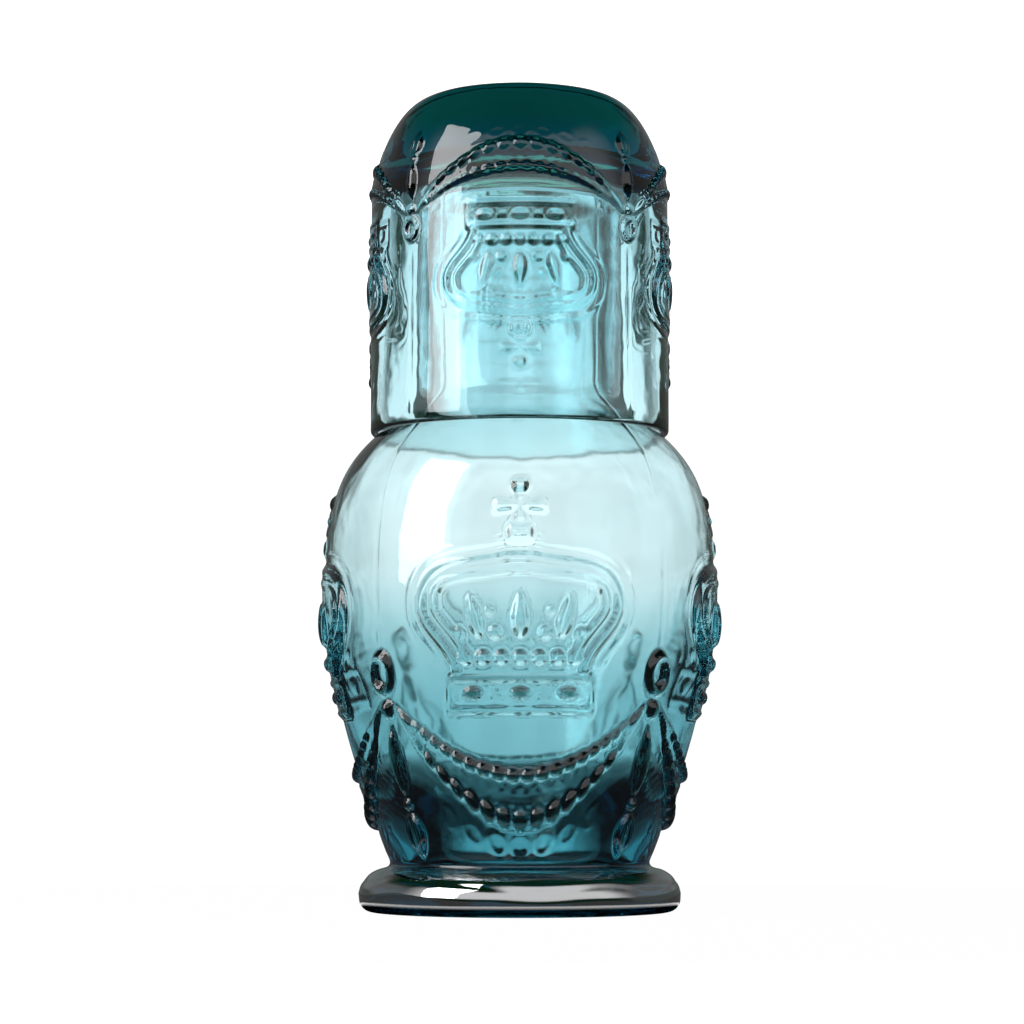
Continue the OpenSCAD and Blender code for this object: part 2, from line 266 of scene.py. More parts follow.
def away_from(line, u, v):
    """Distance from each point (u, v) to the nearest of the straight pieces between a line's points."""
    best = np.full(np.broadcast(u, v).shape, np.inf)
    for a, b in zip(line[:-1], line[1:]):
        run = b - a
        t = np.clip(((u - a[0]) * run[0] + (v - a[1]) * run[1]) / (run @ run), 0.0, 1.0)
        best = np.minimum(best, np.hypot(u - a[0] - t * run[0], v - a[1] - t * run[1]))
    return best


def plateau(v, low, high, edge):
    """1 between low and high, falling softly to 0 at both over the width of an edge."""
    return soft_step((v - low) / edge) * soft_step((high - v) / edge)


def rib(distance, half, height):
    """Rounded rib: its height falls with the square of the distance, to nothing at half its width."""
    return height * np.clip(1.0 - (distance / half) ** 2, 0.0, None)


def stone(u, v, place, half, height):
    """Half of an ellipsoid on the surface: a pearl, a bead or a jewel."""
    rise = 1.0 - ((u - place[0]) / half[0]) ** 2 - ((v - place[1]) / half[1]) ** 2
    return height * np.sqrt(np.clip(rise, 0.0, None))


def drop(u, v, start, end, half, height, belly_share=0.5):
    """Pointed drop from start to end. Across, it is half an ellipse. Along, its width is a sine that is
    bent so that it is widest at the given share of the length."""
    run = np.array(end) - np.array(start)
    length = np.hypot(*run)
    s = ((u - start[0]) * run[0] + (v - start[1]) * run[1]) / length**2
    across = ((u - start[0]) * run[1] - (v - start[1]) * run[0]) / length
    bent = np.clip(s, 0.0, 1.0) ** (math.log(0.5) / math.log(belly_share))
    width = half * np.sin(math.pi * bent)
    rise = np.where((s > 0.0) & (s < 1.0), 1.0 - (across / np.maximum(width, 1e-6)) ** 2, 0.0)
    return height * np.sqrt(np.clip(rise, 0.0, None)) * np.sqrt(np.sin(math.pi * bent))


def crown(u, v):
    """Height of the crown, in millimetres, at u to the side of its middle and v above its lower edge. A domed
    field carries two ribs, petals, stones and a row of pearls. The highest of it, an outer rib, a jewelled
    band with its ribs, a collar, a cross and a ball is what shows."""
    a = np.abs(u)
    width = np.interp(v, dome_outline[::-1, 1], dome_outline[::-1, 0], left=0.0, right=0.0)
    depth = np.where(a < width, 1.0, -1.0) * away_from(dome_outline, a, v)
    low_part = 1.0 - 0.72 * soft_step((v - 26.0) / 9.0)
    on_field = [
        rib(depth - 1.3, 1.4, 1.9) * low_part,
        rib(depth - 4.9, 1.0, 1.3) * low_part * (v > 13.0),
        drop(a, v, (0.0, 19.0), (0.0, 31.4), 2.2, 1.7, 0.36),
        drop(a, v, (9.8, 18.8), (12.7, 30.4), 2.0, 1.4, 0.4),
        stone(a, v, (6.1, 20.4), (1.9, 1.9), 1.0),
        stone(a, v, (15.3, 20.0), (1.9, 1.9), 1.0),
        stone(a, v, (7.6, 25.8), (1.3, 1.3), 0.7),
    ]
    on_field += [stone(a, v, (k * pearl_pitch, pearl_v), (2.0, 1.9), 1.3) for k in range(4)]
    to_end = band_half - a
    in_band = soft_step(to_end / band_edge)
    forms = [
        0.9 * soft_step(depth / 3.2) + np.maximum.reduce(on_field),
        rib(depth + 2.9, 0.9, 0.25) * (v > 12.0),
        0.5 * in_band * plateau(v, -0.6, band_top, 1.0),
        rib(v - 9.3, 1.7, 1.4) * in_band,
        rib(v - 1.4, 1.2, 1.1) * in_band,
        rib(to_end - 0.7, 1.0, 0.9) * (v > 0.6) * (v < 10.0),
        stone(a, v, (jewel_pitch / 2.0, jewel_v), (1.2, 1.2), 1.1),
        soft_step((collar_half - a) / collar_edge) * plateau(v, 41.4, 48.4, collar_edge),
        stone(u, v, (0.0, ball_v), (2.0, 2.0), 1.3),
    ]
    for place in (0.0, jewel_pitch):
        lens = np.hypot((a - place) / 4.5, (v - jewel_v) / 2.9)
        forms.append(stone(a, v, (place, jewel_v), (3.1, 2.0), 1.7))
        forms.append(rib((lens - 1.0) * 3.2, 0.7, 0.8))
    off_beam = np.abs(v - cross_v)
    upright = soft_step((1.5 + 0.25 * off_beam - a) / cross_edge) * plateau(v, 46.6, 56.2, cross_edge)
    beam = soft_step((1.4 + 0.2 * a - off_beam) / cross_edge) * soft_step((cross_half - a) / cross_edge)
    forms.append(cross_height * np.maximum(upright, beam))
    return np.maximum.reduce(forms)


def row_of(distance, pitch):
    """Distance to the nearest of a row of places a pitch apart, one of them at 0."""
    return distance - pitch * np.round(distance / pitch)


def garland(angle, fall):
    """Height of the garland, in millimetres, at an angle from the crown's middle and a fall below the rings.
    Its edges hang as parabolas. Between them run, from the lower edge up, a row of gadroons, three folds
    and two scalloped ropes. A line of lace loops hangs below."""
    t = angle / garland_end
    high = garland_high - garland_high_rise * t**2
    low = garland_low - garland_low_rise * t**2
    slope = (garland_high_rise + garland_low_rise) * t / (garland_end * garland_r)
    lean = 1.0 / np.sqrt(1.0 + slope**2)
    thick = np.maximum(low - high, 0.1) * lean
    w = (low - fall) * lean / thick
    run = garland_r * garland_end * t * np.sqrt(1.0 + slope**2 / 3.0)
    between_rings = np.abs(t) < 1.0
    cloth = soft_step(np.minimum(w, 1.0 - w) * thick / 0.9) * between_rings
    open_part = soft_step((thick - 2.2) / 3.0)
    spread_out = open_part * between_rings
    gadroon = np.hypot(row_of(run, 4.4) / 2.3, (w - 0.19) / 0.2)
    lower_rope = np.hypot(row_of(run, 3.1) / 1.75, (w - 0.69) / 0.065)
    upper_rope = np.hypot(row_of(run + 1.8, 3.6) / 2.0, (w - 0.875) / 0.12)
    forms = [0.6 * cloth, 1.3 * cloth * (1.0 - open_part)]
    for dome, height in ((gadroon, 2.3), (lower_rope, 1.0), (upper_rope, 2.0)):
        forms.append(height * np.sqrt(np.clip(1.0 - dome**2, 0.0, None)) * spread_out)
    for fold in (0.42, 0.51, 0.6):
        forms.append(rib(w - fold, 0.06, 0.95) * spread_out)
    lace = np.hypot(row_of(angle * garland_r, lace_pitch), fall - lace_fall + lace_rise * t**2)
    forms.append(rib(lace - 2.4, 0.85, 0.14) * soft_step((lace_end - np.abs(t)) / 0.1) * (fall > low))
    return np.maximum.reduce(forms)


def pendant(u, fall):
    """Height of the pendant, in millimetres, at u to the side of its line and a fall below the ring's middle:
    a ring, a knot, a long drop, a bead and a leaf with a crease."""
    ring = np.hypot(u / 2.9, fall / 4.3)
    leaf = drop(u, fall, (0.0, 34.6), (0.0, 47.0), 3.2, 2.1, 0.42)
    forms = [
        rib((ring - 1.0) * 3.4, 1.2, 1.9),
        stone(u, fall, (0.0, 8.9), (1.9, 2.4), 2.0),
        drop(u, fall, (0.0, 12.2), (0.0, 31.0), 2.3, 2.2, 0.55),
        stone(u, fall, (0.0, 32.8), (1.5, 1.4), 1.6),
        leaf * (1.0 - 0.45 * np.exp(-((u / 0.8) ** 2))),
    ]
    return np.maximum.reduce(forms)


def folded(angle):
    """The angle from the nearest crown's middle, between an eighth of a turn on either side."""
    return (angle + quarter / 2.0) % quarter - quarter / 2.0


def seam(angle, radius):
    """Fine raised line where two parts of the mould met, in each corner between the crowns. The real one is
    about 0.2 mm wide. It is drawn 1 mm wide so that it shows."""
    return rib((np.abs(folded(angle)) - quarter / 2.0) * radius, 0.5, 0.14)


def carafe_ornament(angle, z, radius):
    """Height of the carafe's ornament at an angle and a height, on a body of the given radius."""
    side = folded(angle)
    corner = (np.abs(side) - quarter / 2.0) * radius
    raised = np.maximum(crown(side * radius, z - crown_z), garland(side, ring_z - z))
    raised = np.maximum(raised, pendant(corner, ring_z - z))
    return np.maximum(raised, seam(angle, radius) * soft_step((z - seam_z) / seam_fade))


def flow(angle, z):
    """Slow unevenness of blown glass: four waves that cross, each a whole number of times round, added up
    to lie between 1 and -1."""
    waves = np.sin(3.0 * angle + z / 17.0) + 0.7 * np.sin(5.0 * angle - z / 11.0 + 1.3)
    waves = waves + 0.5 * np.sin(8.0 * angle + z / 7.0 + 2.1) + 0.4 * np.sin(2.0 * angle + z / 5.0 + 0.6)
    return waves / 2.6


def drawn(angle, z):
    """Unevenness of the foot, which the tongs drew round: waves 11 mm tall and fine ones 2.8 mm tall, which
    wander as they go round, between 1.2 and -1.2."""
    wander = 1.4 * np.sin(2.0 * angle + 0.4) + 0.8 * np.sin(5.0 * angle + 2.0) + 0.4 * np.sin(9.0 * angle)
    return np.sin(z / 1.75 + wander) + 0.2 * np.sin(z / 0.45 + 2.0 * wander)


# Close columns go round where the ornament is. Elsewhere one in four of them does.
columns = 448
spread = 4
angles = np.arange(columns) * 2.0 * math.pi / columns


def averaged(form, line):
    """A form's height at every angle and every row of a line, as the mean of four places around each point,
    a quarter of a row and of a column away, so that edges between rows stay smooth."""
    step_a = 0.25 * (angles[1] - angles[0])
    step_z = 0.25 * np.gradient(line[:, 1])[:, None]
    z = line[:, 1][:, None]
    radius = line[:, 0][:, None]
    turns = angles[None, :]
    places = [(i, j) for i in (-1.0, 1.0) for j in (-1.0, 1.0)]
    return sum(form(turns + i * step_a, z + j * step_z, radius) for i, j in places) / len(places)


def rows_of(stretches):
    """The whole outline in rows: their points, the names of the stretches that they belong to, and whether
    they have the close columns."""
    names, lines, steps, close = zip(*stretches)
    parts = [spaced(line, step) for line, step in zip(lines, steps)]
    counts = [len(part) - (k > 0) for k, part in enumerate(parts)]
    return chained(parts), np.repeat(names, counts), np.repeat(close, counts)


def joined_rings(low, high, low_count, high_count):
    """Faces between two rings of points, given the first point's number and the count of each. Rings alike
    are joined by squares, a ring of one point by triangles, and a close ring to a wide one by fans of five
    triangles."""
    if low_count == high_count:
        j = np.arange(low_count)
        k = (j + 1) % low_count
        return [np.column_stack([low + j, low + k, high + k, high + j])]
    if low_count == 1 or high_count == 1:
        j = np.arange(max(low_count, high_count))
        k = (j + 1) % len(j)
        tip = np.full(len(j), low if low_count == 1 else high)
        ring = high if low_count == 1 else low
        first, second = (k, j) if low_count == 1 else (j, k)
        return [np.column_stack([tip, ring + first, ring + second])]
    wide, close = (low, high) if low_count < high_count else (high, low)
    j = np.arange(min(low_count, high_count))
    k = (j + 1) % len(j)
    c = [close + (spread * j + i) % max(low_count, high_count) for i in range(spread + 1)]
    a, b = wide + j, wide + k
    fans = [(a, c[1], c[0]), (a, c[2], c[1]), (a, b, c[2]), (b, c[3], c[2]), (b, c[4], c[3])]
    if wide == high:
        fans = [fan[::-1] for fan in fans]
    return [np.column_stack(fan) for fan in fans]


def turned_glass(name, line, close, push, marks):
    """Closed skin of a turned vessel. Each point of the line is moved along the line's normal by push, which
    has a row for each point and a column for each angle, and is then turned about the axis by that angle.
    A mark has the same rows and columns. The mesh keeps it under its name, for the glass to read."""
    square = normals(line)
    on_axis = line[:, 0] < 1e-6
    picks = [
        slice(0, 1) if tip else slice(None, None, 1 if fine else spread)
        for tip, fine in zip(on_axis, close)
    ]
    rings = []
    faces = []
    first = 0
    before = None
    for k, pick in enumerate(picks):
        radius = (line[k, 0] + square[k, 0] * push[k, pick]) * (0.0 if on_axis[k] else 1.0)
        height = line[k, 1] + square[k, 1] * push[k, pick]
        turn = angles[pick]
        rings.append(np.column_stack([radius * np.sin(turn), -radius * np.cos(turn), height]))
        if before is not None:
            faces += joined_rings(before, first, first - before, len(turn))
        before, first = first, first + len(turn)
    mesh = bpy.data.meshes.new(name)
    mesh.from_pydata(np.concatenate(rings) * MM, [], [face for part in faces for face in part.tolist()])
    mesh.shade_smooth()
    for mark, values in marks.items():
        on_points = np.concatenate([values[k, pick] for k, pick in enumerate(picks)])
        mesh.attributes.new(mark, "FLOAT", "POINT").data.foreach_set("value", on_points)
    mesh.update()
    piece = bpy.data.objects.new(name, mesh)
    bpy.context.collection.objects.link(piece)
    return piece


inside_unevenness = 0.2
outside_unevenness = 0.1
drawn_unevenness = 0.22
crest_from = 1.0
crest_full = 1.6
crests_low = waist[1] + 4.0
crests_high = crown_z + 11.5

carafe_line, carafe_part, carafe_close = rows_of(carafe_stretches)
carafe_z = carafe_line[:, 1]
inside = np.char.startswith(carafe_part, "inside")
outside = ~inside & (carafe_part != "lip")
push = np.zeros((len(carafe_line), columns))
push[outside] = averaged(carafe_ornament, carafe_line[outside])
push *= soft_step(carafe_z - waist[1])[:, None]
uneven = flow(angles[None, :], carafe_z[:, None])
push += inside_unevenness * uneven * inside[:, None]
push += outside_unevenness * uneven * (outside * soft_step((carafe_z - 1.0) / 4.0))[:, None]
push += drawn_unevenness * drawn(angles[None, :], carafe_z[:, None]) * (carafe_part == "foot's top")[:, None]
# The mark for painted shade on the crests of the raised ornament, between the waist and the crown's jewels
low_relief = outside * (carafe_z > crests_low) * (carafe_z < crests_high)
carafe_marks = {
    "inside": inside[:, None] * np.ones(columns),
    "painted_crest_shade": soft_step((push - crest_from) / (crest_full - crest_from)) * low_relief[:, None],
}
carafe = turned_glass("carafe_glass_body", carafe_line, carafe_close, push, carafe_marks)

# Carafe: glass
# Soda-lime glass with a trace of copper and iron, which takes out red. Thin glass is pale aqua, and the thick
# foot is nearly black. Fire polishing leaves it clear, with faint ripples from the mould.

ripple_length = 14.0
grain_width = 3.0


def linear(code):
    """A colour written as sRGB hex, as the linear red, green, blue and alpha that a shader takes."""
    parts = [int(code[i:i + 2], 16) / 255.0 for i in (1, 3, 5)]
    parts = [c / 12.92 if c <= 0.04045 else ((c + 0.055) / 1.055) ** 2.4 for c in parts]
    return (*parts, 1.0)


def add(tree, kind, inputs=None, **settings):
    """Adds a node with its settings, and gives each named input a value or a link from another's output."""
    node = tree.nodes.new(kind)
    for key, value in settings.items():
        setattr(node, key, value)
    for key, value in (inputs or {}).items():
        if isinstance(value, bpy.types.NodeSocket):
            tree.links.new(value, node.inputs[key])
        else:
            node.inputs[key].default_value = value
    return node


def pressed_glass(name, melt, per_metre, ripple, inside_roughness):
    """Clear glass that absorbs light on its way through, with ripples as high as given, in millimetres, and a
    fine mould grain on the outside. The inside has an even roughness, which blurs the far side's ornament.
    Gives the material, its shader and the height above the table, for a piece to add its own finish."""
    material = bpy.data.materials.new(name)
    material.use_nodes = True
    tree = material.node_tree
    tree.nodes.clear()
    place = add(tree, "ShaderNodeTexCoord").outputs["Object"]
    height = add(tree, "ShaderNodeSeparateXYZ", {"Vector": place}).outputs["Z"]
    ripples = add(tree, "ShaderNodeTexNoise", {
        "Vector": place,
        "Scale": 1.0 / (ripple_length * MM),
        "Detail": 2.0,
    })
    grain = add(tree, "ShaderNodeTexNoise", {
        "Vector": place,
        "Scale": 1.0 / (grain_width * MM),
        "Detail": 3.0,
    })
    polish = add(tree, "ShaderNodeMapRange", {"Value": grain.outputs["Fac"], "To Min": 0.0, "To Max": 0.05})
    inner_side = add(tree, "ShaderNodeAttribute", attribute_name="inside")
    finish = add(tree, "ShaderNodeMix", {
        "Factor": inner_side.outputs["Fac"],
        "A": polish.outputs["Result"],
        "B": inside_roughness,
    })
    bump = add(tree, "ShaderNodeBump", {
        "Height": ripples.outputs["Fac"],
        "Strength": 1.0,
        "Distance": ripple * MM,
    })
    tint = add(tree, "ShaderNodeMix", {
        "Factor": ripples.outputs["Fac"],
        "A": linear("#F2FBFC"),
        "B": linear("#FCFFFF"),
    }, data_type="RGBA")
    glass = add(tree, "ShaderNodeBsdfPrincipled", {
        "Base Color": tint.outputs["Result"],
        "Roughness": finish.outputs["Result"],
        "IOR": 1.52,
        "Transmission Weight": 1.0,
        "Normal": bump.outputs["Normal"],
    })
    body = add(tree, "ShaderNodeVolumeAbsorption", {"Color": linear(melt), "Density": per_metre})
    add(tree, "ShaderNodeOutputMaterial", {
        "Surface": glass.outputs["BSDF"],
        "Volume": body.outputs["Volume"],
    })
    return material, glass, height


def tint_and_painted_shade(glass, share, colour):
    """Turns the skin of a glass towards a colour by a share, a socket that goes from 0 to 1: a green tint on
    the tumbler's base, painted shade on the carafe's crests.
    """
    tree = glass.id_data
    skin = glass.inputs["Base Color"].links[0].from_socket
    mix = add(tree, "ShaderNodeMix", {"Factor": share, "A": skin, "B": linear(colour)}, data_type="RGBA")
    tree.links.new(mix.outputs["Result"], glass.inputs["Base Color"])


carafe_glass, glass, height = pressed_glass(
    "teal_soda_lime_glass",
    melt="#69D2DC",
    per_metre=115.0,
    ripple=0.25,
    inside_roughness=0.1,
)
tree = carafe_glass.node_tree

# The crests of the beads, jewels and pendants get painted shade: their skin is turned nearly black. The foot
# shines like a dark mirror
painted_crest_shade = add(tree, "ShaderNodeAttribute", attribute_name="painted_crest_shade")
tint_and_painted_shade(glass, painted_crest_shade.outputs["Fac"], "#2F5A54")
lustre = add(tree, "ShaderNodeMapRange", {
    "Value": height,
    "From Min": (foot_h - 2.0) * MM,
    "From Max": foot_h * MM,
    "To Min": 1.0,
    "To Max": 0.0,
})
tree.links.new(lustre.outputs["Result"], glass.inputs["Coat Weight"])
glass.inputs["Coat IOR"].default_value = 4.0
glass.inputs["Coat Roughness"].default_value = 0.03

carafe.data.materials.append(carafe_glass)
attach(carafe, "carafe")
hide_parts("carafe")

# Tumbler
# The tumbler is a second piece of such glass, pressed in its own mould with the same ornament, smaller.
# It hangs upside down over the neck, where its round rim rests on the shoulder, and nothing fastens it.

tumbler_low, tumbler_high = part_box("tumbler")
rim_z = tumbler_low.z / MM
base_z = tumbler_high.z / MM
tumbler_r = 39.7
tumbler_wall = 2.2
tumbler_taper = 2.2
tumbler_base_t = 17.0
tumbler_base_r = 24.3
base_hollow_r = 17.0
base_hollow = 0.8
base_hollow_lead = 0.1
tumbler_corner_h = 28.4
tumbler_heel_h = 13.0
small_crown_z = base_z - 33.6
small_ring_z = base_z - 39.4
ornament_low = 133.0
ornament_high = 206.0
overlap = 0.05
tumbler_heel_pull = 0.45
corner_share = 0.64
base_share = 0.55

# The ornament's sizes as shares of the carafe's: the crown's across and up, and the others
small_crown = (41.0 / 53.4, 42.0 / 57.0)
small_garland = 0.56
small_pendant = 0.7
small_relief = 0.5

tumbler_inner_r = tumbler_r - tumbler_wall
tumbler_heel_r = tumbler_inner_r - tumbler_taper
lip_r = tumbler_wall / 2.0
tumbler_floor = base_z - tumbler_base_t
tumbler_heel_line = bezier(
    (0.0, tumbler_floor),
    (floor_pull * tumbler_heel_r, tumbler_floor),
    (tumbler_heel_r, tumbler_floor - tumbler_heel_pull * tumbler_heel_h),
    (tumbler_heel_r, tumbler_floor - tumbler_heel_h),
)
tumbler_inner_line = np.array([tumbler_heel_line[-1], [tumbler_inner_r, rim_z + lip_r]])
rim_line = arc((tumbler_r - lip_r, rim_z + lip_r), lip_r, 180.0, 360.0)
tumbler_outer_line = spaced(chained([
    np.array([[tumbler_r, rim_z + lip_r], [tumbler_r, base_z - tumbler_corner_h]]),
    bezier(
        (tumbler_r, base_z - tumbler_corner_h),
        (tumbler_r, base_z - corner_share * tumbler_corner_h),
        ((1.0 - base_share) * tumbler_base_r + base_share * tumbler_r, base_z),
        (tumbler_base_r, base_z),
    ),
]), 0.1)
outer_z = tumbler_outer_line[:, 1]
dressed = (outer_z >= ornament_low - overlap) & (outer_z <= ornament_high)
base_ring_line = np.array([[tumbler_base_r, base_z], [base_hollow_r, base_z]])
base_line = bezier(
    (base_hollow_r, base_z),
    (hollow_shares[1] * base_hollow_r, base_z - base_hollow_lead),
    (hollow_shares[0] * base_hollow_r, base_z - base_hollow),
    (0.0, base_z - base_hollow),
)
tumbler_stretches = [
    ("inside of the heel", tumbler_heel_line, 2.0, False),
    ("inside of the wall", tumbler_inner_line, 4.0, False),
    ("rim", rim_line, 0.5, False),
    ("outside by the rim", tumbler_outer_line[outer_z <= ornament_low], 2.0, True),
    ("outside with ornament", tumbler_outer_line[dressed], 0.54, True),
    ("outside by the base", tumbler_outer_line[outer_z >= ornament_high - overlap], 1.0, True),
    ("base ring", base_ring_line, 2.0, False),
    ("base hollow", base_line, 2.0, False),
]


def tumbler_ornament(angle, z, radius):
    """Height of the tumbler's ornament: the carafe's, upside down, smaller and flatter."""
    side = folded(angle)
    corner = (np.abs(side) - quarter / 2.0) * radius
    fall = (z - small_ring_z) / small_garland
    raised = crown(side * tumbler_r / small_crown[0], (small_crown_z - z) / small_crown[1])
    raised = np.maximum(raised, garland(side, fall))
    raised = np.maximum(raised, pendant(corner / small_pendant, fall))
    seam_line = seam(angle, radius) * soft_step((small_ring_z - seam_fade - z) / seam_fade)
    return small_relief * np.maximum(raised, seam_line)


small_inside_unevenness = 0.12
small_outside_unevenness = 0.06
turned_on = 0.7

tumbler_line, tumbler_part, tumbler_close = rows_of(tumbler_stretches)
inside = np.char.startswith(tumbler_part, "inside")
outside = np.char.startswith(tumbler_part, "outside")
push = np.zeros((len(tumbler_line), columns))
push[outside] = averaged(tumbler_ornament, tumbler_line[outside])
uneven = flow(angles[None, :] + turned_on, tumbler_line[:, 1][:, None])
push += small_inside_unevenness * uneven * inside[:, None]
push += small_outside_unevenness * uneven * outside[:, None]
tumbler_marks = {"inside": inside[:, None] * np.ones(columns)}
tumbler = turned_glass("tumbler_glass_body", tumbler_line, tumbler_close, push, tumbler_marks)

# A melt a little paler than the carafe's. The heavy base, which light crosses the long way, looks deep green.
tumbler_glass, glass, height = pressed_glass(
    "teal_pressed_tumbler_glass",
    melt="#82D3DE",
    per_metre=118.0,
    ripple=0.2,
    inside_roughness=0.04,
)
greener = add(tumbler_glass.node_tree, "ShaderNodeMapRange", {
    "Value": height,
    "From Min": (base_z - 24.0) * MM,
    "From Max": (base_z - 10.0) * MM,
})
tint_and_painted_shade(glass, greener.outputs["Result"], "#A8D894")

tumbler.data.materials.append(tumbler_glass)
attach(tumbler, "tumbler")
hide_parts("tumbler")

# Studio
# A pale table in a white room. Tall white screens stand round the table with dark gaps between them, so that
# the edges of the glass show as dark lines from every side. A large soft lamp stands on the left.

floor_half = 3.0
floor_lift = 0.985
# The table as the glass sees it, in metres from the axis: a painted shadow that is dark near the foot and
# white further out, and in what the glass mirrors a painted glowing ring round the foot, with the rest
# painted dark
near_in_glass = 0.13
far_in_glass = 1.08
far_mirrored = 0.08
painted_shadow_span = (0.06, 0.24)
ring_inner_edge = (0.0435, 0.047)
ring_outer_edge = (0.048, 0.053)
screens = 8.0
screen_low_light = 1.06
screen_top_light = 1.52
side_mirrored = 0.15
front_light = 1.3
dark_cloth = "#3C8A4A"
dark_light = 0.12
screen_edge = (-0.42, 0.18)
screen_climb = (0.09, 0.18)
ceiling_edge = (0.42, 0.66)
front_edge = (0.1, -0.4)
front_low_edge = (0.06, 0.14)
front_top_edge = (0.78, 0.62)

floor_mesh = bpy.data.meshes.new("table_top")
corners = [(-1.0, -1.0), (1.0, -1.0), (1.0, 1.0), (-1.0, 1.0)]
floor_mesh.from_pydata([(x * floor_half, y * floor_half, 0.0) for x, y in corners], [], [(0, 1, 2, 3)])
floor = bpy.data.objects.new("table_top", floor_mesh)
bpy.context.collection.objects.link(floor)


def mirrored_share(tree, path):
    """1 for a ray that a surface mirrored. Is Glossy Ray is 1 for one that glass let through as well, so it
    is multiplied by Is Reflection Ray."""
    share = add(tree, "ShaderNodeMath", {
        0: path.outputs["Is Glossy Ray"],
        1: path.outputs["Is Reflection Ray"],
    }, operation="MULTIPLY")
    return share.outputs["Value"]


# White laminate. The camera sees it lifted towards white, with the shadow kept. Through the glass its glow
# carries a painted shadow, dark near the foot and white further out. Of what the glass mirrors, only a
# painted glowing ring round the foot is bright, and the rest is painted dark.
laminate = bpy.data.materials.new("white_laminate")
laminate.use_nodes = True
tree = laminate.node_tree
tree.nodes.clear()
path = add(tree, "ShaderNodeLightPath")
place = add(tree, "ShaderNodeTexCoord").outputs["Object"]
away = add(tree, "ShaderNodeVectorMath", {0: place}, operation="LENGTH").outputs["Value"]
seen = add(tree, "ShaderNodeMapRange", {
    "Value": away,
    "From Min": painted_shadow_span[0],
    "From Max": painted_shadow_span[1],
    "To Min": near_in_glass,
    "To Max": far_in_glass,
})
ring_start = add(tree, "ShaderNodeMapRange", {
    "Value": away,
    "From Min": ring_inner_edge[0],
    "From Max": ring_inner_edge[1],
})
ring_end = add(tree, "ShaderNodeMapRange", {
    "Value": away,
    "From Min": ring_outer_edge[0],
    "From Max": ring_outer_edge[1],
    "To Min": 1.0,
    "To Max": far_mirrored,
})
ring = add(tree, "ShaderNodeMath", {
    0: ring_start.outputs["Result"],
    1: ring_end.outputs["Result"],
}, operation="MULTIPLY")
in_glass = add(tree, "ShaderNodeMix", {
    "Factor": mirrored_share(tree, path),
    "A": seen.outputs["Result"],
    "B": ring.outputs["Value"],
})
glow = add(tree, "ShaderNodeMath", {
    0: path.outputs["Is Camera Ray"],
    1: in_glass.outputs["Result"],
}, operation="MAXIMUM")
by_camera = add(tree, "ShaderNodeMath", {
    0: path.outputs["Is Camera Ray"],
    1: floor_lift,
}, operation="MULTIPLY")
lift = add(tree, "ShaderNodeMath", {
    0: path.outputs["Is Glossy Ray"],
    1: by_camera.outputs["Value"],
}, operation="MAXIMUM")
matt = add(tree, "ShaderNodeBsdfDiffuse", {"Color": linear("#F4F4F2")})
white = add(tree, "ShaderNodeEmission", {"Color": linear("#FFFFFF"), "Strength": glow.outputs["Value"]})
mixed = add(tree, "ShaderNodeMixShader", {
    "Fac": lift.outputs["Value"],
    1: matt.outputs["BSDF"],
    2: white.outputs["Emission"],
})
add(tree, "ShaderNodeOutputMaterial", {"Surface": mixed.outputs["Shader"]})
floor.data.materials.append(laminate)

# The room is white to the camera. To everything else it is screens with gaps, under a dark ceiling.
room = bpy.data.worlds.new("white_room")
bpy.context.scene.world = room
room.use_nodes = True
tree = room.node_tree
tree.nodes.clear()
path = add(tree, "ShaderNodeLightPath")
way = add(tree, "ShaderNodeSeparateXYZ", {"Vector": add(tree, "ShaderNodeTexCoord").outputs["Generated"]})
around = add(tree, "ShaderNodeMath", {0: way.outputs["Y"], 1: way.outputs["X"]}, operation="ARCTAN2")
turns = add(tree, "ShaderNodeMath", {0: around.outputs["Value"], 1: screens}, operation="MULTIPLY")
wave = add(tree, "ShaderNodeMath", {0: turns.outputs["Value"]}, operation="COSINE")
screen = add(tree, "ShaderNodeMapRange", {
    "Value": wave.outputs["Value"],
    "From Min": screen_edge[0],
    "From Max": screen_edge[1],
}, interpolation_type="SMOOTHSTEP")
ceiling = add(tree, "ShaderNodeMapRange", {
    "Value": way.outputs["Z"],
    "From Min": ceiling_edge[0],
    "From Max": ceiling_edge[1],
    "To Min": 1.0,
    "To Max": 0.0,
}, interpolation_type="SMOOTHSTEP")
climb = add(tree, "ShaderNodeMapRange", {
    "Value": way.outputs["Z"],
    "From Min": screen_climb[0],
    "From Max": screen_climb[1],
    "To Min": screen_low_light,
    "To Max": screen_top_light,
}, interpolation_type="SMOOTHSTEP")
upright_light = add(tree, "ShaderNodeMath", {
    0: ceiling.outputs["Result"],
    1: climb.outputs["Result"],
}, operation="MULTIPLY")
lit = add(tree, "ShaderNodeMath", {
    0: screen.outputs["Result"],
    1: upright_light.outputs["Value"],
}, operation="MULTIPLY")

# What the glass mirrors: a bright front with a dark table and a dark ceiling, and dim sides and back
front = add(tree, "ShaderNodeMapRange", {
    "Value": way.outputs["Y"],
    "From Min": front_edge[0],
    "From Max": front_edge[1],
}, interpolation_type="SMOOTHSTEP")
over_table = add(tree, "ShaderNodeMapRange", {
    "Value": way.outputs["Z"],
    "From Min": front_low_edge[0],
    "From Max": front_low_edge[1],
}, interpolation_type="SMOOTHSTEP")
under_ceiling = add(tree, "ShaderNodeMapRange", {
    "Value": way.outputs["Z"],
    "From Min": front_top_edge[0],
    "From Max": front_top_edge[1],
}, interpolation_type="SMOOTHSTEP")
front_band = add(tree, "ShaderNodeMath", {
    0: over_table.outputs["Result"],
    1: under_ceiling.outputs["Result"],
}, operation="MULTIPLY")
facing = add(tree, "ShaderNodeMath", {0: front_band.outputs["Value"], 1: front_light}, operation="MULTIPLY")
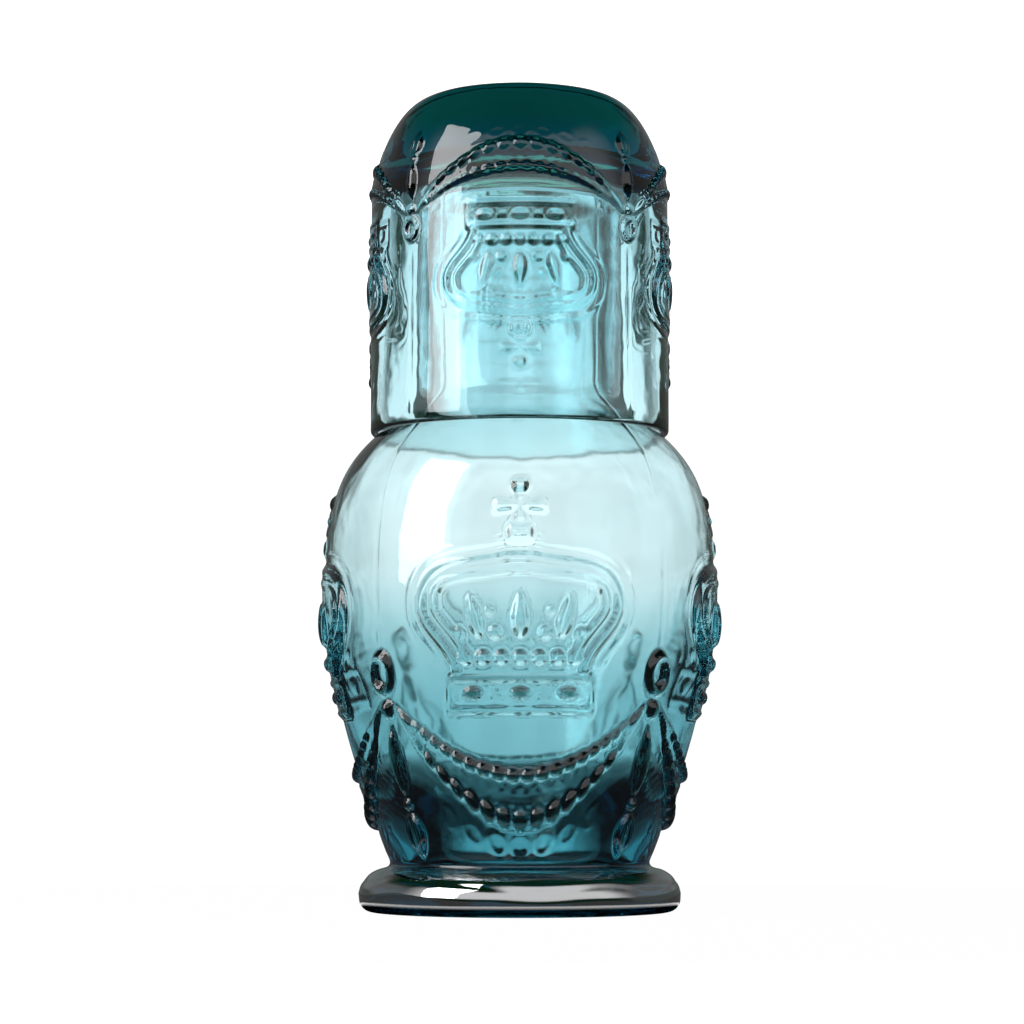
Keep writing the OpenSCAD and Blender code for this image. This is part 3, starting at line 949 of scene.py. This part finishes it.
aside = add(tree, "ShaderNodeMath", {
    0: upright_light.outputs["Value"],
    1: side_mirrored,
}, operation="MULTIPLY")
mirrored = add(tree, "ShaderNodeMix", {
    "Factor": front.outputs["Result"],
    "A": aside.outputs["Value"],
    "B": facing.outputs["Value"],
})
around_glass = add(tree, "ShaderNodeMix", {
    "Factor": mirrored_share(tree, path),
    "A": lit.outputs["Value"],
    "B": mirrored.outputs["Result"],
})
strength = add(tree, "ShaderNodeMath", {
    0: around_glass.outputs["Result"],
    1: path.outputs["Is Camera Ray"],
}, operation="MAXIMUM")

# The gaps and the ceiling are a dark green cloth
plain = add(tree, "ShaderNodeMapRange", {"Value": strength.outputs["Value"], "From Max": 0.25})
shade = add(tree, "ShaderNodeMix", {
    "Factor": plain.outputs["Result"],
    "A": linear(dark_cloth),
    "B": linear("#FFFFFF"),
}, data_type="RGBA")
bright = add(tree, "ShaderNodeMath", {0: strength.outputs["Value"], 1: dark_light}, operation="MAXIMUM")
air = add(tree, "ShaderNodeBackground", {
    "Color": shade.outputs["Result"],
    "Strength": bright.outputs["Value"],
})
add(tree, "ShaderNodeOutputWorld", {"Surface": air.outputs["Background"]})

# The soft lamp on the left
lamp_data = bpy.data.lights.new("left_softbox", "AREA")
lamp_data.shape = "RECTANGLE"
lamp_data.size = 0.5
lamp_data.size_y = 0.9
lamp_data.energy = 9.0
lamp = bpy.data.objects.new("left_softbox", lamp_data)
lamp.location = (-0.75, -0.45, 0.55)
lamp.rotation_euler = (math.radians(62.0), 0.0, math.radians(-59.0))
bpy.context.collection.objects.link(lamp)

# Camera
# It stands a little above the table, 0.77 m in front of the carafe, and looks up a little.

camera_up = 5.3
camera_data = bpy.data.cameras.new("camera")
camera_data.sensor_width = 36.0
camera_data.lens = 102.0
camera = bpy.data.objects.new("camera", camera_data)
camera.location = (-0.00204, -0.7685, 0.034)
camera.rotation_euler = (math.radians(90.0 + camera_up), 0.0, 0.0)
bpy.context.collection.objects.link(camera)
scene = bpy.context.scene
scene.camera = camera
scene.view_settings.view_transform = "Standard"
